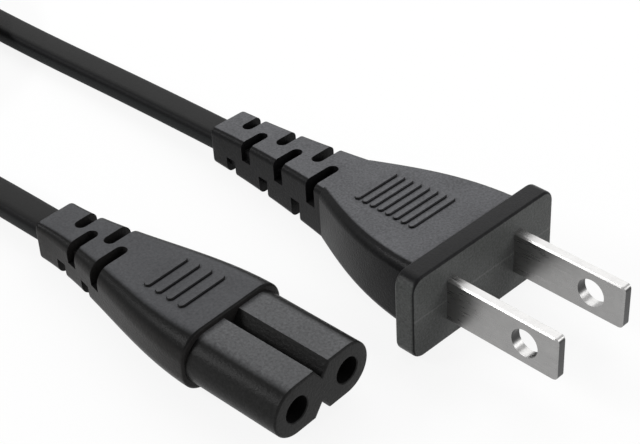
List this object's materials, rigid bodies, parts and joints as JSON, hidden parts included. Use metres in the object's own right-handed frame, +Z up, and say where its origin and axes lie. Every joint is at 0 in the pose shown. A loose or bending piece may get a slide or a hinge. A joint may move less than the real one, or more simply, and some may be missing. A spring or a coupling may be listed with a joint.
{
  "type": "power cord",
  "caption": "Black mains power cord: moulded flat-blade plug, flat cord and figure-eight connector, with the spare cord in a tied coil",
  "frame": {"origin": "on the floor, in the middle of the outline that the plug and the connector share", "axes": "+X the way the plug's blades point, +Y to the left of it, +Z up"},
  "size_m": [0.1745, 0.0869, 0.0126],
  "materials": {
    "moulded_pvc": "fine matt grain",
    "nose_plastic": "satin black",
    "inner_plastic": "plain moulded",
    "cord_sheath": "smooth satin",
    "core_insulation_white": "smooth",
    "core_insulation_black": "smooth",
    "plated_brass": "bright brushed nickel",
    "contact_brass": "plain",
    "copper": "bare stranded copper",
    "tie_fabric": "woven"
  },
  "bodies": {
    "root": {"plug_body": "moulded_pvc", "connector_grip": "moulded_pvc", "connector_nose": "nose_plastic", "plug_bridge": "inner_plastic", "blade_left": "plated_brass", "blade_right": "plated_brass", "plug_core_left": "core_insulation_white", "plug_core_right": "core_insulation_black", "connector_core_left": "core_insulation_white", "connector_core_right": "core_insulation_black", "plug_copper_left": "copper", "plug_copper_right": "copper", "connector_copper_left": "copper", "connector_copper_right": "copper", "contact_left": "contact_brass", "contact_right": "contact_brass", "cord_plug_side": "cord_sheath", "cord_connector_side": "cord_sheath", "cord_coil": "cord_sheath", "cord_tie": "tie_fabric"}
  },
  "joints": []
}
